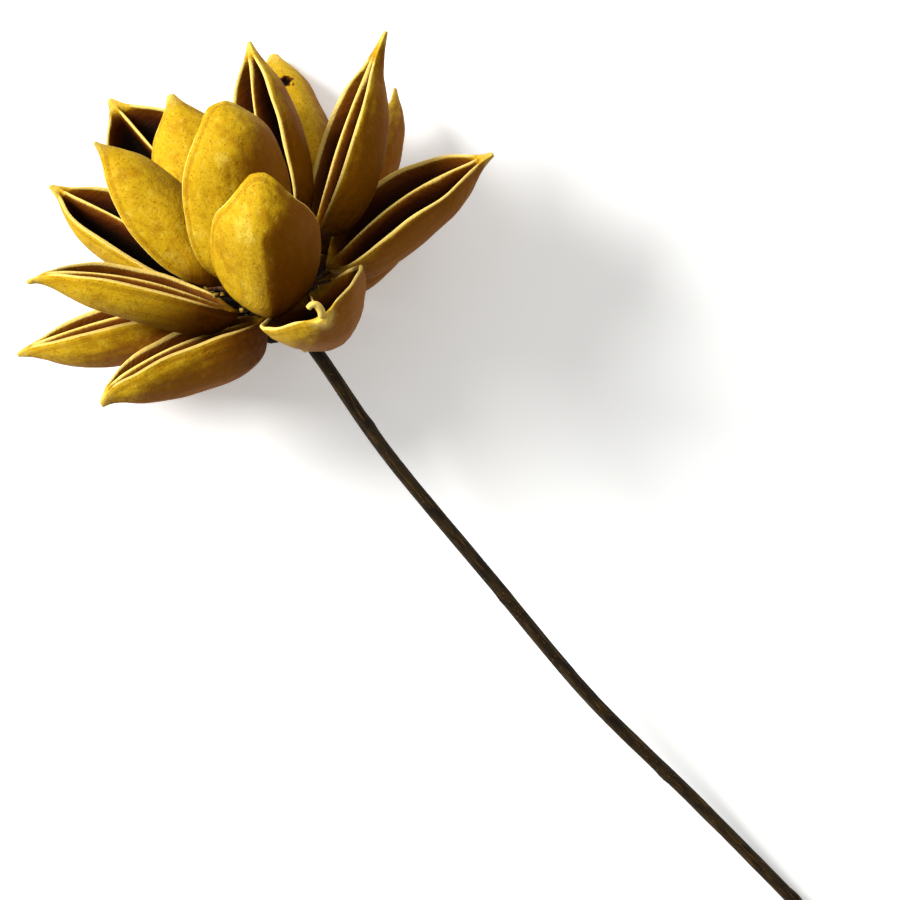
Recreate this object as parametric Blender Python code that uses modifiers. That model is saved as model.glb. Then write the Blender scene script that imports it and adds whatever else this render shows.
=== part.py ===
"""Dried seed-pod head on its cut stem, lying on a flat surface.

Twenty woody pod valves stand out from a knobby receptacle.  Each valve is a
boat: a thin wall, a pointed beak and a partition down the middle of its mouth.
The stem runs from the back of the head along +X down to the surface.

Frame: metres, +Z up, +X towards the cut end of the stem, the origin at the
bottom centre of the whole object's box.
"""
import math
from collections import namedtuple

import bmesh
import bpy
from mathutils import Matrix, Vector

MM = 0.001

# ---------------------------------------------------------------- dimensions
OBJECT_NAME = "seed_pod_head"

WALL = 1.3 * MM              # thickness of a valve's woody wall
PARTITION = 1.0 * MM         # thickness of the partition in a valve's mouth
RIM_DROP = 0.03              # top of the partition below the rim, part of the depth
SIDE_STEPS = 8               # facets round a valve's outside

STEM_DIAMETER = 3.5 * MM
STEM_STEP = 6.0 * MM         # spacing of the points along the stem

CORE_RADII = (9.0 * MM, 7.5 * MM, 7.5 * MM)
CORE_CENTRE = Vector((-1.0, 0.0, -2.0)) * MM
KNEE_RADII = (4.9 * MM, 5.6 * MM, 4.4 * MM)   # the swelling beside the stem
KNEE_CENTRE = Vector((4.6, -6.4, -5.1)) * MM
STUB_ROOT_RADIUS = 3.0 * MM  # a stub leaves the core this thick
STUB_END_RADIUS = 1.6 * MM   # and meets its valve this thick
STUB_GAP = 1.2 * MM          # end of a stub to the foot of its valve
REMESH_SIZE = 1.1 * MM
THINNED_SHARE = 0.45         # part of the remeshed faces that is kept

# The route of the stem's centre line from the head (mm, the head's centre is 0, 0, 0).
STEM_ROUTE = (
    (9.5, -2.2, -1.8),
    (19.0, -2.8, -4.0),
    (49.0, -5.6, -11.0),
    (89.0, -6.0, -19.5),
    (129.0, -6.1, -27.0),
    (169.0, -2.4, -33.6),
    (207.0, 0.6, -37.6),
    (232.0, 2.0, -38.4),
)

# A valve's half width and depth along its length, as parts of their largest value.
VALVE_SHAPE = (
    # along, width, depth
    (0.00, 0.13, 0.16),
    (0.05, 0.44, 0.50),
    (0.12, 0.70, 0.76),
    (0.22, 0.90, 0.92),
    (0.34, 0.99, 1.00),
    (0.46, 1.00, 1.00),
    (0.58, 0.95, 0.93),
    (0.70, 0.82, 0.78),
    (0.80, 0.62, 0.58),
    (0.88, 0.36, 0.36),
    (0.94, 0.17, 0.19),
    (1.00, 0.04, 0.05),
)

# Each valve: its foot (mm from the head's centre), the way it points (heading
# round +Z from +X, then pitch above the horizontal), the roll of its mouth from
# straight up, its length, width and depth (mm), how far its rim arches and its
# beak hooks down (parts of the length), the part of it that is solid beak, how
# sharp its keel is and how blunt its tip (0 to 1).
Valve = namedtuple(
    "Valve", "foot heading pitch roll length width depth arch hook beak keel blunt"
)
VALVES = {
    "pod_01": Valve((2.8, -6.8, 4.1), 254, 6, -75, 46.0, 25.0, 14.0, 0.07, 0.06, 0.0, 0.4, 0.5),
    "pod_02": Valve((-11.5, -15.5, -11.0), 245, -6, -74, 50.5, 24.0, 13.0, 0.04, 0.02, 0.0, 0.2, 0.0),
    "pod_03": Valve((-2.5, -11.0, 7.6), 219, 8, -78, 52.5, 25.5, 11.0, 0.07, 0.05, 0.0, 0.2, 0.1),
    "pod_04": Valve((-14.0, -11.0, -10.0), 200, -14, -50, 50.5, 25.0, 12.5, 0.05, 0.00, 0.0, 0.2, 0.0),
    "pod_05": Valve((-9.5, -8.6, 9.9), 182, 13, 136, 48.0, 21.5, 10.0, 0.05, 0.00, 0.0, 0.3, 0.0),
    "pod_06": Valve((-14.5, -2.0, -6.0), 180, -18, -14, 55.5, 29.0, 12.5, 0.05, 0.00, 0.0, 0.2, 0.0),
    "pod_07": Valve((-11.5, -4.5, -2.5), 161, -1, 178, 47.0, 25.5, 10.0, 0.05, 0.00, 0.0, 0.4, 0.2),
    "pod_08": Valve((-5.0, -3.0, 10.4), 149, 32, 150, 49.0, 29.5, 13.0, 0.05, -0.07, 0.0, 0.4, 1.0),
    "pod_09": Valve((1.8, -2.9, 14.0), 144, 54, 178, 44.5, 27.0, 13.0, 0.05, -0.10, 0.0, 1.0, 0.8),
    "pod_10": Valve((5.5, 5.5, 10.0), -8, 80, 1, 45.0, 29.0, 14.0, 0.04, 0.03, 0.0, 0.8, 0.5),
    "pod_11": Valve((-10.5, 10.5, 0.0), 151, -2, 56, 49.0, 24.5, 12.0, 0.06, 0.00, 0.0, 0.3, 0.0),
    "pod_12": Valve((-10.2, 16.7, -15.0), 152.5, -26.6, 126, 50.5, 25.0, 13.0, 0.04, 0.00, 0.0, 0.4, 0.5),
    "pod_13": Valve((-5.5, 15.0, 3.0), 120, 4, 70, 54.0, 25.0, 13.0, 0.04, 0.00, 0.2, 0.4, 0.0),
    "pod_14": Valve((-3.8, 13.1, -12.7), 111, -19.5, 95, 50.0, 23.0, 12.0, 0.04, -0.05, 0.0, 0.3, 0.0),
    "pod_15": Valve((2.5, 13.0, 2.0), 84, 4, 60, 50.0, 28.0, 13.0, 0.09, 0.00, 0.0, 0.5, 0.0),
    "pod_16": Valve((0.0, -11.0, -6.0), 244, -47, -35, 46.0, 24.0, 12.0, 0.05, 0.00, 0.0, 0.3, 0.2),
    "pod_17": Valve((-10.0, -2.0, -17.0), 189, -31, 2, 44.0, 24.0, 11.5, 0.05, 0.00, 0.0, 0.2, 0.0),
    "pod_18": Valve((-4.0, 3.0, -15.0), 144, -41, 53, 38.0, 20.5, 9.5, 0.05, 0.00, 0.0, 0.4, 0.0),
    "pod_19": Valve((3.0, 8.5, -10.0), 92, -40, 71, 46.0, 25.0, 12.5, 0.05, 0.00, 0.0, 0.3, 0.3),
    "pod_20": Valve((5.0, -1.7, -13.0), 300, -80, -30, 27.0, 17.0, 8.5, 0.05, 0.00, 0.0, 0.4, 0.2),
}

# ------------------------------------------------------------------ finishes
Finish = namedtuple("Finish", "name colour roughness")
POD_WOOD = Finish("pod_wood", (0.62, 0.40, 0.05), 0.62)
CORE_WOOD = Finish("core_wood", (0.05, 0.025, 0.01), 0.85)
STEM_BARK = Finish("stem_bark", (0.045, 0.032, 0.012), 0.75)


def clear_scene():
    """Remove every object that is already in the scene."""
    for thing in list(bpy.data.objects):
        bpy.data.objects.remove(thing, do_unlink=True)


def make_material(finish, node_name):
    """Return a new material of this finish for one node."""
    material = bpy.data.materials.new(finish.name + "_" + node_name)
    material.use_nodes = True
    shader = material.node_tree.nodes["Principled BSDF"]
    shader.inputs["Base Color"].default_value = (*finish.colour, 1.0)
    shader.inputs["Roughness"].default_value = finish.roughness
    shader.inputs["Metallic"].default_value = 0.0
    return material


def add_object(name, data, collection, parent, finish):
    """Put mesh or curve data in the collection as a named, finished object."""
    thing = bpy.data.objects.new(name, data)
    collection.objects.link(thing)
    thing.parent = parent
    data.materials.append(make_material(finish, name))
    return thing


def read_shape(along, column):
    """Interpolate one column of VALVE_SHAPE at a part of the length."""
    for low, high in zip(VALVE_SHAPE, VALVE_SHAPE[1:]):
        if along <= high[0]:
            share = (along - low[0]) / (high[0] - low[0])
            return low[column] + share * (high[column] - low[column])
    return VALVE_SHAPE[-1][column]


def blunted(value, blunt, body):
    """Widen a share of the width or depth towards the tip of a blunt valve."""
    past_middle = min(1.0, max(0.0, (body - 0.5) / 0.3))
    return value ** (1.0 - 0.45 * blunt * past_middle)


def side_curve(angle, half, depth, rim, keel):
    """One point of a boat-shaped side: angle 0 is the +Y rim, pi the -Y rim."""
    cosine = math.cos(angle)
    sine = max(0.0, math.sin(angle))
    across = math.copysign(abs(cosine) ** (0.8 + 0.4 * keel), cosine) * half
    return across, rim - depth * sine ** (1.15 + 0.25 * keel)


def valve_section(valve, along):
    """The closed outline of a valve's wall and partition at one station."""
    body = along
    if valve.beak and along < 1.0 - valve.beak:
        body = along / (1.0 - valve.beak) * 0.88
    elif valve.beak:
        body = 0.88 + (along - 1.0 + valve.beak) / valve.beak * 0.12
    length = valve.length * MM
    half = valve.width * MM / 2.0 * blunted(read_shape(body, 1), valve.blunt, body)
    depth = valve.depth * MM * blunted(read_shape(body, 2), valve.blunt, body)
    rim = valve.arch * length * math.sin(math.pi * along)
    rim -= valve.hook * length * max(0.0, (along - 0.82) / 0.18) ** 2

    outline = []
    for step in range(SIDE_STEPS + 1):
        outline.append(side_curve(math.pi * step / SIDE_STEPS, half, depth, rim, valve.keel))

    # The mouth fades out at the foot and in the beak, where the wood is solid.
    opening = min(1.0, max(0.0, (along - 0.01) / 0.09))
    opening *= min(1.0, max(0.0, (0.985 - along) / 0.10))
    inner_half = max(half - WALL, 0.5 * half)
    inner_depth = max(depth - WALL, 0.5 * depth) * opening + 0.02 * depth * (1.0 - opening)
    plate = min(PARTITION / 2.0, 0.25 * inner_half)
    channel = [(-inner_half, rim)]
    for share in (0.33, 0.66):
        angle = math.pi * (1.0 - share / 2.0)
        across, height = side_curve(angle, inner_half, inner_depth, rim, valve.keel)
        channel.append((min(across, -1.2 * plate), height))
    channel.append((-plate, rim - inner_depth))
    channel.append((-plate, rim - RIM_DROP * inner_depth))
    outline.extend(channel)
    outline.extend((-across, height) for across, height in reversed(channel))
    return outline


def cap_faces(outer, inner):
    """Triangles that close one end between its outer and its inner chain."""
    faces = []
    first = 0
    second = 0
    while first < len(outer) - 1 or second < len(inner) - 1:
        outer_share = first / (len(outer) - 1)
        inner_share = second / (len(inner) - 1)
        if second == len(inner) - 1 or (first < len(outer) - 1 and outer_share <= inner_share):
            faces.append((outer[first], outer[first + 1], inner[second]))
            first += 1
        else:
            faces.append((outer[first], inner[second + 1], inner[second]))
            second += 1
    return faces


def make_valve_mesh(name, valve):
    """Loft one valve along its own +X with its mouth towards +Z."""
    shell = bmesh.new()
    rings = []
    for along, _, _ in VALVE_SHAPE:
        ring = []
        for across, height in valve_section(valve, along):
            ring.append(shell.verts.new((along * valve.length * MM, across, height)))
        rings.append(ring)
    count = len(rings[0])
    for near, far in zip(rings, rings[1:]):
        for index in range(count):
            following = (index + 1) % count
            shell.faces.new((near[index], far[index], far[following], near[following]))
    last_outer = SIDE_STEPS
    for ring in (rings[0], rings[-1]):
        outer = ring[:last_outer + 1]
        inner = list(reversed(ring[last_outer + 1:]))
        for corners in cap_faces(outer, inner):
            shell.faces.new(corners)
    bmesh.ops.triangulate(shell, faces=shell.faces[:])
    bmesh.ops.recalc_face_normals(shell, faces=shell.faces[:])
    mesh = bpy.data.meshes.new(name)
    shell.to_mesh(mesh)
    shell.free()
    mesh.shade_smooth()
    mesh.set_sharp_from_angle(angle=math.radians(50))
    return mesh


def valve_matrix(valve):
    """Where a valve stands: its foot, the way it points and the roll of its mouth."""
    heading = math.radians(valve.heading)
    pitch = math.radians(valve.pitch)
    pointing = Vector((
        math.cos(pitch) * math.cos(heading),
        math.cos(pitch) * math.sin(heading),
        math.sin(pitch),
    ))
    upward = (Vector((0.0, 0.0, 1.0)) - pointing * pointing.z).normalized()
    aside = upward.cross(pointing)
    roll = math.radians(valve.roll)
    mouth = upward * math.cos(roll) + aside * math.sin(roll)
    turn = Matrix((pointing, mouth.cross(pointing), mouth)).transposed()
    return Matrix.Translation(Vector(valve.foot) * MM) @ turn.to_4x4()


def make_stem(collection, parent):
    """The stem: a slim tube along a smooth curve through its route."""
    route = [Vector(point) * MM for point in STEM_ROUTE]
    ends = [2.0 * route[0] - route[1]] + route + [2.0 * route[-1] - route[-2]]
    points = []
    for index in range(1, len(ends) - 2):
        before, start, end, after = ends[index - 1:index + 3]
        steps = max(2, round((end - start).length / STEM_STEP))
        for step in range(steps):
            share = step / steps
            point = (
                2.0 * start
                + (end - before) * share
                + (2.0 * before - 5.0 * start + 4.0 * end - after) * share ** 2
                + (3.0 * start - before - 3.0 * end + after) * share ** 3
            )
            points.append(point / 2.0)
    points.append(route[-1])

    curve = bpy.data.curves.new("stem", "CURVE")
    curve.dimensions = "3D"
    curve.bevel_depth = STEM_DIAMETER / 2.0
    curve.bevel_resolution = 2
    curve.use_fill_caps = True
    spline = curve.splines.new("POLY")
    spline.points.add(len(points) - 1)
    for target, point in zip(spline.points, points):
        target.co = (*point, 1.0)
    spline.use_smooth = True
    return add_object("stem", curve, collection, parent, STEM_BARK)


def add_rod(body, start, end, start_radius, end_radius):
    """Add a closed tapering rod between two points to a bmesh."""
    run = end - start
    turn = run.to_track_quat("Z", "Y").to_matrix().to_4x4()
    bmesh.ops.create_cone(
        body,
        cap_ends=True,
        segments=12,
        radius1=start_radius,
        radius2=end_radius,
        depth=run.length,
        matrix=Matrix.Translation((start + end) / 2.0) @ turn,
    )


def make_receptacle(collection, parent):
    """The knobby core with one short stub towards the foot of each valve."""
    body = bmesh.new()
    for centre, radii in ((CORE_CENTRE, CORE_RADII), (KNEE_CENTRE, KNEE_RADII)):
        place = Matrix.Translation(centre) @ Matrix.Diagonal((*radii, 1.0))
        bmesh.ops.create_icosphere(body, subdivisions=3, radius=1.0, matrix=place)
    for valve in VALVES.values():
        foot = Vector(valve.foot) * MM
        reach = foot - CORE_CENTRE
        end = foot - reach.normalized() * STUB_GAP
        start = CORE_CENTRE + reach * 0.15
        add_rod(body, start, end, STUB_ROOT_RADIUS, STUB_END_RADIUS)
    neck_end = Vector(STEM_ROUTE[0]) * MM
    neck_end -= (neck_end - CORE_CENTRE).normalized() * 0.6 * MM
    add_rod(body, CORE_CENTRE, neck_end, 4.5 * MM, 2.6 * MM)
    mesh = bpy.data.meshes.new("receptacle")
    body.to_mesh(mesh)
    body.free()
    receptacle = add_object("receptacle", mesh, collection, parent, CORE_WOOD)
    remesh = receptacle.modifiers.new("one_skin", "REMESH")
    remesh.mode = "VOXEL"
    remesh.voxel_size = REMESH_SIZE
    remesh.use_smooth_shade = True
    thin = receptacle.modifiers.new("fewer_faces", "DECIMATE")
    thin.ratio = THINNED_SHARE
    return receptacle


def world_corners(objects):
    """The lowest and highest corner of all the objects as they are evaluated."""
    bpy.context.view_layer.update()
    depsgraph = bpy.context.evaluated_depsgraph_get()
    low = Vector((math.inf,) * 3)
    high = Vector((-math.inf,) * 3)
    for thing in objects:
        shown = thing.evaluated_get(depsgraph)
        mesh = shown.to_mesh()
        for vertex in mesh.vertices:
            point = shown.matrix_world @ vertex.co
            for axis in range(3):
                low[axis] = min(low[axis], point[axis])
                high[axis] = max(high[axis], point[axis])
        shown.to_mesh_clear()
    return low, high


def main():
    """Build the pod head and set it on the surface."""
    clear_scene()
    collection = bpy.data.collections.new(OBJECT_NAME)
    bpy.context.scene.collection.children.link(collection)
    frame = bpy.data.objects.new("head_frame", None)
    collection.objects.link(frame)

    pieces = [make_stem(collection, frame), make_receptacle(collection, frame)]
    for name, valve in VALVES.items():
        pod = add_object(name, make_valve_mesh(name, valve), collection, frame, POD_WOOD)
        pod.matrix_local = valve_matrix(valve)
        pieces.append(pod)

    low, high = world_corners(pieces)
    frame.location = (-(low.x + high.x) / 2.0, -(low.y + high.y) / 2.0, -low.z)
    bpy.context.view_layer.update()


if __name__ == "__main__":
    main()
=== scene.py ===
"""A dried seed-pod head: split woody valves round a knobby core, on a slim dry stem."""

import logging
import math
from dataclasses import dataclass
from enum import Enum
from typing import ClassVar, Sequence

import bpy
from mathutils import Matrix, Vector, noise


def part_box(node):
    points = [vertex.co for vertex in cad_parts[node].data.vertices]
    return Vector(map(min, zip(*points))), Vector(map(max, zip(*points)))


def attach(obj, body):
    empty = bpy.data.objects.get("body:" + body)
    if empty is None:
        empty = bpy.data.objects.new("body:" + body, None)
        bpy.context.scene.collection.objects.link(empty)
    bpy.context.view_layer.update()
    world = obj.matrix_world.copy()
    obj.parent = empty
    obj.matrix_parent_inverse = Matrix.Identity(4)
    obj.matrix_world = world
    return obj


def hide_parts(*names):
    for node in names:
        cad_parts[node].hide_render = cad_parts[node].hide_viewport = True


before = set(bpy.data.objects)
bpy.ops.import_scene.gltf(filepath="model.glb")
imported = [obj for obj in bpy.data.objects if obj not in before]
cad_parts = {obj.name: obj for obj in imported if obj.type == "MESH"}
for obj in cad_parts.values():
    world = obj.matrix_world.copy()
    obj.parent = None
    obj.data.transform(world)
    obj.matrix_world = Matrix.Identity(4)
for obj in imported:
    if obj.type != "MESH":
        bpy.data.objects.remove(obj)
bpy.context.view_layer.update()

LOG = logging.getLogger("seed_pod_head")
MM = 0.001

Piece = bpy.types.Object
Socket = bpy.types.NodeSocket
Material = bpy.types.Material
Point = tuple[float, float, float]
Zone = tuple[float, float, float, float]
Curve = tuple[tuple[float, float], ...]


# ---- small helpers
def linear(hex_colour: str) -> Zone:
    """Turn an sRGB hex colour into linear RGBA.

    Args:
        hex_colour: six hex digits, such as "d8ac2c".

    Returns:
        The colour as Blender's sockets take it.
    """
    channels = []
    for start in (0, 2, 4):
        value = int(hex_colour[start:start + 2], 16) / 255.0
        channels.append(value / 12.92 if value <= 0.04045 else ((value + 0.055) / 1.055) ** 2.4)
    return (channels[0], channels[1], channels[2], 1.0)


def smooth_step(low: float, high: float, value: float) -> float:
    """Ease from 0 at low to 1 at high."""
    share = min(1.0, max(0.0, (value - low) / (high - low)))
    return share * share * (3.0 - 2.0 * share)


def read_curve(table: Curve, place: float) -> float:
    """Read a smooth curve through a short table of points.

    Args:
        table: (place, value) points in rising order of place.
        place: where to read.

    Returns:
        The value there, on a cubic through the neighbouring points.
    """
    last = len(table) - 1
    index = 0
    while index < last - 1 and place > table[index + 1][0]:
        index += 1
    (x0, y0), (x1, y1) = table[index], table[index + 1]
    width = x1 - x0
    before = table[max(0, index - 1)]
    after = table[min(last, index + 2)]
    slope0 = (y1 - before[1]) / (x1 - before[0]) * width
    slope1 = (after[1] - y0) / (after[0] - x0) * width
    share = min(1.0, max(0.0, (place - x0) / width))
    square, cube = share ** 2, share ** 3
    return (
        (2 * cube - 3 * square + 1) * y0
        + (cube - 2 * square + share) * slope0
        + (3 * square - 2 * cube) * y1
        + (cube - square) * slope1
    )


def make_active(*pieces: Piece) -> None:
    """Select these objects and no other, and make the first one active."""
    bpy.ops.object.select_all(action="DESELECT")
    for piece in pieces:
        piece.select_set(True)
    bpy.context.view_layer.objects.active = pieces[0]


def subdivide(piece: Piece, levels: int) -> None:
    """Round a mesh off.

    Args:
        piece: the object whose mesh it is.
        levels: how many times each face is split.
    """
    make_active(piece)
    modifier = piece.modifiers.new("subsurf", "SUBSURF")
    modifier.levels = modifier.render_levels = levels
    bpy.ops.object.modifier_apply(modifier=modifier.name)


def edit_all(piece: Piece) -> None:
    """Start to edit a mesh, with all of it selected."""
    make_active(piece)
    bpy.ops.object.mode_set(mode="EDIT")
    bpy.ops.mesh.select_all(action="SELECT")


def stand_on(piece: Piece, node: str) -> Vector:
    """Move a mesh so that the middle of its box is the middle of its CAD node's.

    Args:
        piece: the piece, with its object at the origin.
        node: the CAD node.

    Returns:
        How far the mesh moved.
    """
    points = [vertex.co for vertex in piece.data.vertices]
    low, high = (
        Vector([pick(point[axis] for point in points) for axis in range(3)]) for pick in (min, max)
    )
    node_low, node_high = (Vector(corner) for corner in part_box(node))
    move = (node_low + node_high - low - high) / 2.0
    piece.data.transform(Matrix.Translation(move))
    return move


def settle(piece: Piece, finish: Material, slot: str, *nodes: str) -> None:
    """Finish a piece: smooth, dressed and riding on the one body.

    Args:
        piece: the modelled piece.
        finish: what it is made of.
        slot: not used.
        nodes: the CAD nodes that it stands for, if any.
    """
    make_active(piece)
    bpy.ops.object.shade_smooth()
    piece.data.materials.append(finish)
    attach(piece, "root")
    if nodes:
        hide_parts(*nodes)
    LOG.info("%s: %d faces", piece.name, len(piece.data.polygons))


# ---- materials
@dataclass(frozen=True)
class Tint:
    """A colour that comes in as a pattern goes from one value to another, up to a strength."""

    pattern: str
    start: float
    full: float
    strength: float
    colour: Socket | str


class Surface:
    """A material in the making: its nodes, its shader and its patterns by name."""

    def __init__(self, name: str, roughness: float, specular: float) -> None:
        """Start a material.

        Args:
            name: the material's name.
            roughness: how dull it is.
            specular: how strongly it mirrors, 0.5 for a usual surface.
        """
        self.material = bpy.data.materials.new(name)
        self.material.use_nodes = True
        self.shader = self.material.node_tree.nodes["Principled BSDF"]
        self.shader.inputs["Roughness"].default_value = roughness
        self.shader.inputs["Specular IOR Level"].default_value = specular
        self.patterns: dict[str, Socket] = {}

    def add(
        self,
        kind: str,
        inputs: dict[str | int, object],
        out: str | int = 0,
        stops: Sequence[tuple[float, str]] = (),
        **settings: object,
    ) -> Socket:
        """Add a node with its settings and links.

        Args:
            kind: the node's type name without "ShaderNode".
            inputs: what each input takes, by name or number: a socket, a value or a hex colour.
            out: the output that is wanted, by name or number.
            stops: places and hex colours, where the node has a colour ramp.
            settings: attributes of the node.

        Returns:
            That output of the new node.
        """
        tree = self.material.node_tree
        node = tree.nodes.new("ShaderNode" + kind)
        for name, value in settings.items():
            setattr(node, name, value)
        for name, source in inputs.items():
            if isinstance(source, Socket):
                tree.links.new(source, node.inputs[name])
            else:
                value = linear(source) if isinstance(source, str) else source
                node.inputs[name].default_value = value
        for index, (place, colour) in enumerate(stops):
            elements = node.color_ramp.elements
            element = elements[index] if index < len(elements) else elements.new(place)
            element.position = place
            element.color = linear(colour)
        return node.outputs[out]

    def grain(
        self,
        name: str,
        place: Socket,
        size: float,
        stretch: Point = (1.0, 1.0, 1.0),
        detail: float = 3.0,
        roughness: float = 0.55,
    ) -> None:
        """Name a noise pattern, of values around 0.5, whose patches have a real size.

        Args:
            name: the pattern's name.
            place: coordinates in metres.
            size: a patch's size in metres.
            stretch: how much longer a patch is along each axis.
            detail: octaves of finer pattern.
            roughness: how strong the finer octaves are.
        """
        scale = tuple(1.0 / (size * factor) for factor in stretch)
        moved = self.add("Mapping", {"Vector": place, "Scale": scale})
        values = {"Vector": moved, "Scale": 1.0, "Detail": detail, "Roughness": roughness}
        self.patterns[name] = self.add("TexNoise", values, "Fac")

    def weigh(self, name: str, **terms: float) -> None:
        """Name a sum of patterns.

        Args:
            name: the sum's name.
            terms: the weight of each pattern that counts.
        """
        total: Socket | float = 0.0
        for pattern, weight in terms.items():
            values = {0: self.patterns[pattern], 1: weight, 2: total}
            total = self.add("Math", values, operation="MULTIPLY_ADD")
        self.patterns[name] = total

    def lay(self, colour: Socket | str, *tints: Tint) -> Socket:
        """Lay tints over a colour.

        Args:
            colour: what lies beneath.
            tints: the tints, the lowest first.

        Returns:
            The colour with every tint on it.
        """
        for tint in tints:
            values = {
                "Value": self.patterns[tint.pattern],
                "From Min": tint.start,
                "From Max": tint.full,
                "To Max": tint.strength,
            }
            share = self.add("MapRange", values, interpolation_type="SMOOTHSTEP")
            colour = self.add("Mix", {0: share, 6: colour, 7: tint.colour}, 2, data_type="RGBA")
        return colour

    def finish(self, colour: Socket, relief: str, height: float) -> Material:
        """Give the shader its colour and its fine relief.

        Args:
            colour: the finished colour.
            relief: the pattern that stands up from the surface.
            height: how far it stands up, in metres.

        Returns:
            The finished material.
        """
        values = {"Height": self.patterns[relief], "Strength": 0.9, "Distance": height}
        links = self.material.node_tree.links
        links.new(colour, self.shader.inputs["Base Color"])
        links.new(self.add("Bump", values), self.shader.inputs["Normal"])
        return self.material


@dataclass(frozen=True)
class HuskWood:
    """Dry split pod husk: a thin woody shell with a matt, faintly waxy golden skin.

    The eye sees a golden skin that is browner at the foot, partly its own brown and partly
    painted shade where the valves crowd the core, with painted shade in brown on the side
    turned away from the key light; fine specks and lengthwise fibres; pale rubbed rims that
    also carry a painted highlight; and a dark red-brown lining that is painted down to nearly
    black deep in the channel as painted shade.
    """

    name: str = "husk_wood_dried"
    gold: str = "cda316"
    pale_gold: str = "e4c547"
    tan: str = "b4850a"
    brown: str = "854a00"
    # Painted shade brown, laid on faces turned away from the key light.
    painted_shade_brown: str = "8e4d00"
    # Brown towards the foot: partly the husk's own, partly painted shade where the valves crowd the
    # core.
    foot_brown_and_shade: str = "502600"
    # Pale rims: rubbed pale, and also a painted highlight along every rim.
    rim: str = "f7d570"
    tip: str = "e8c458"
    lip_brown: str = "8e5a08"
    lining: str = "6a3605"
    # The lining's mid, deep and floor colours are painted shade deepening into the channel.
    lining_mid: str = "401902"
    lining_fibre_and_deep_shade: str = "1a0b02"
    lining_floor_shade: str = "0c0501"
    # The direction, away from the key light, whose faces take the painted shade.
    painted_shade_side: Point = (0.930, 0.330, -0.160)
    roughness: float = 0.66
    specular: float = 0.06
    relief_height: float = 0.18 * MM

    def build(self, shift: float, brown_and_shade_reach: float, tip_wear: float) -> Material:
        """Make the material.

        Args:
            shift: moves the pattern, so that no two valves are marked alike.
            brown_and_shade_reach: how much further up the valve the brown of its foot reaches; that
                brown is partly the husk's own and partly painted shade.
            tip_wear: how pale the beak is rubbed.

        Returns:
            The new material.
        """
        made = Surface(self.name, self.roughness, self.specular)
        patterns = made.patterns
        zones = made.add("Attribute", {}, "Color", attribute_name="zones")
        marks = made.add("SeparateColor", {"Color": zones}).node.outputs
        patterns.update(inside=marks[0], rim=marks[1], along=marks[2])
        fibres = made.add("Attribute", {}, "Vector", attribute_name="fibres")
        lengthwise = made.add("VectorMath", {0: fibres, 1: (shift, 0.0, shift)}, operation="ADD")
        made.grain("fibre", lengthwise, 0.40 * MM, (9.0, 1.0, 1.0), 2.0)
        made.grain("streak", lengthwise, 1.8 * MM, (9.0, 1.0, 1.0))
        place = made.add("TexCoord", {}, "Object")
        moved = made.add("VectorMath", {0: place, 1: (shift, 0.37 * shift, 0.0)}, operation="ADD")
        made.grain("patch", moved, 7.0 * MM, roughness=0.5)
        made.grain("mottle", moved, 1.7 * MM, roughness=0.6)
        made.grain("fleck", moved, 0.55 * MM, detail=1.0)
        # Painted shade: faces turned away from the key light are painted brown, along a direction
        # fixed to the object.
        normal = place.node.outputs["Normal"]
        values = {0: normal, 1: self.painted_shade_side}
        patterns["facing"] = made.add("VectorMath", values, "Value", operation="DOT_PRODUCT")
        # A shrunken groove follows the rim a little below it.
        values = {0: zones.node.outputs["Alpha"], 1: 0.17, 2: 0.045}
        patterns["groove"] = made.add("Math", values, operation="COMPARE")
        # The painted shade mask: how far a face points away from the key light, broken up by patch
        # and mottle.
        made.weigh("ragged", facing=1.0, patch=0.5, mottle=0.3)
        # The foot's brown mask: partly the husk's own colour, partly painted shade where the valves
        # crowd the core.
        made.weigh("footing_and_shade", along=1.0, mottle=0.35)
        made.weigh("tipping", along=1.0, mottle=-0.08)
        # Rim paleness: partly wear, partly a painted highlight.
        made.weigh("rim_wear_and_highlight", rim=1.0, fleck=-0.25)
        # How far into the channel a point lies, which drives the painted shade that darkens the
        # lining.
        made.weigh("depth", inside=1.0, streak=0.12)
        made.weigh("relief", fibre=0.6, fleck=0.5, mottle=1.2, streak=1.4, groove=-0.8)

        stops = ((0.30, self.tan), (0.46, self.gold), (0.62, self.gold), (0.80, self.pale_gold))
        gold = made.add("ValToRGB", {"Fac": patterns["patch"]}, "Color", stops)
        outer = made.lay(
            gold,
            Tint("mottle", 0.52, 0.72, 0.42, self.tan),
            Tint("mottle", 0.46, 0.28, 0.40, self.pale_gold),
            Tint("streak", 0.54, 0.72, 0.35, self.tan),
            # Painted shade: brown on the side away from the key light.
            Tint("ragged", 0.36, 0.92, 0.90, self.painted_shade_brown),
            # Brown towards the foot, partly painted shade.
            Tint("footing_and_shade", 0.46 + 2.0 * brown_and_shade_reach, 0.17 + 0.6 * brown_and_shade_reach, 0.85, self.foot_brown_and_shade),
            Tint("fleck", 0.56, 0.74, 0.55, self.brown),
            Tint("fibre", 0.58, 0.78, 0.28, self.brown),
            Tint("groove", 0.0, 1.0, 0.30, self.brown),
        )
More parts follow.
